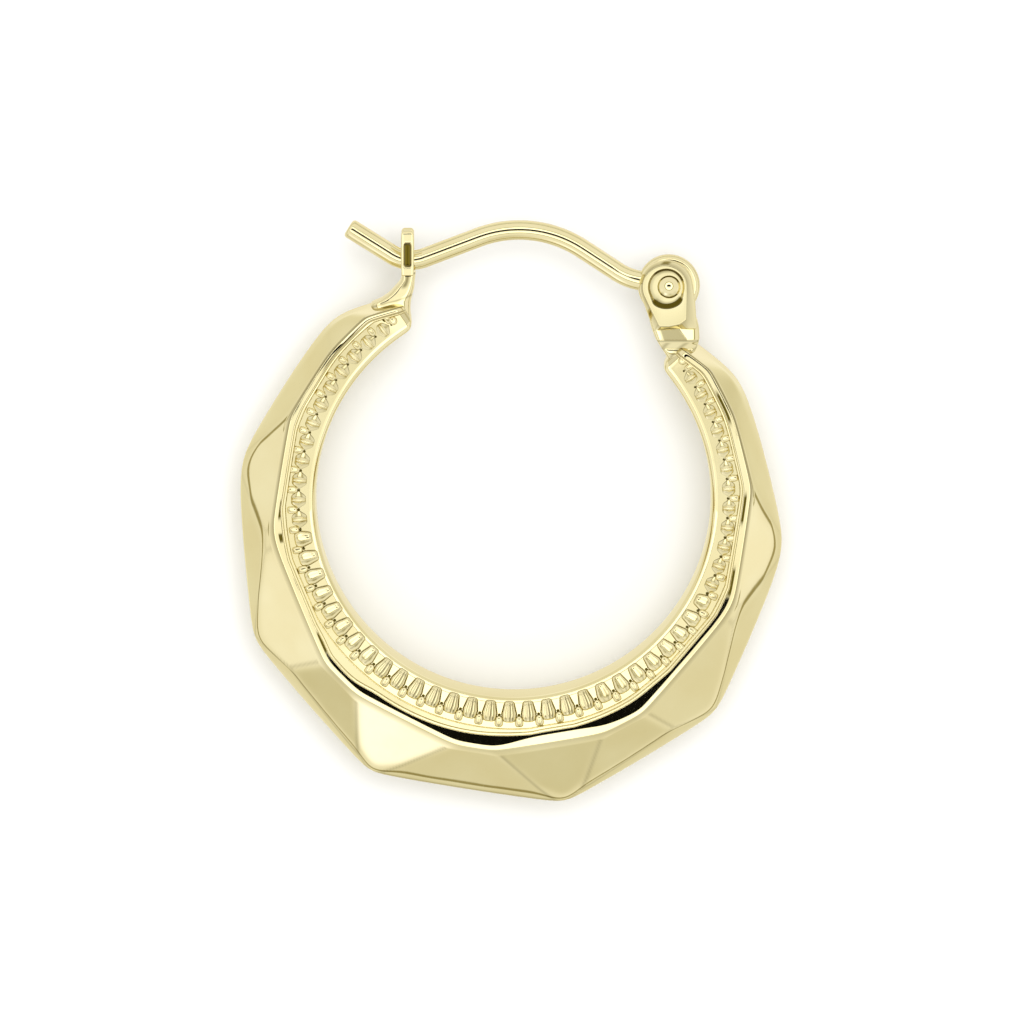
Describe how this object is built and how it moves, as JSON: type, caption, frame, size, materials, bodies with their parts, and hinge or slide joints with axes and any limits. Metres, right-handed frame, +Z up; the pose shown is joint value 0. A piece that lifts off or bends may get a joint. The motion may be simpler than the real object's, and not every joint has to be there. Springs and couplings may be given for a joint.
{
  "type": "hoop earring",
  "caption": "Faceted crescent hoop earring with a beaded band on each face and a hinged ear wire that snaps into a forked catch.",
  "frame": {"origin": "bottom centre of the bounding box, on the surface that the earring lies on", "axes": "+Z up and along the hoop's axis, toward the face that is seen; +Y toward the ear wire; +X toward the hinge"},
  "size_m": [0.0202, 0.0218, 0.0032],
  "materials": {
    "polished_gold": "polished pale yellow gold",
    "rivet_gold": "polished pale yellow gold",
    "wire_gold": "polished pale yellow gold"
  },
  "bodies": {
    "hoop": {"hoop": "polished_gold", "hinge_rivet": "rivet_gold"},
    "wire": {"ear_wire": "wire_gold"}
  },
  "joints": [
    {"name": "wire_hinge", "type": "hinge", "parent": "hoop", "child": "wire", "pos_m": [0.0058, 0.00845, 0.0016], "axis": [0, 0, -1], "range_deg": [0, 110]}
  ]
}
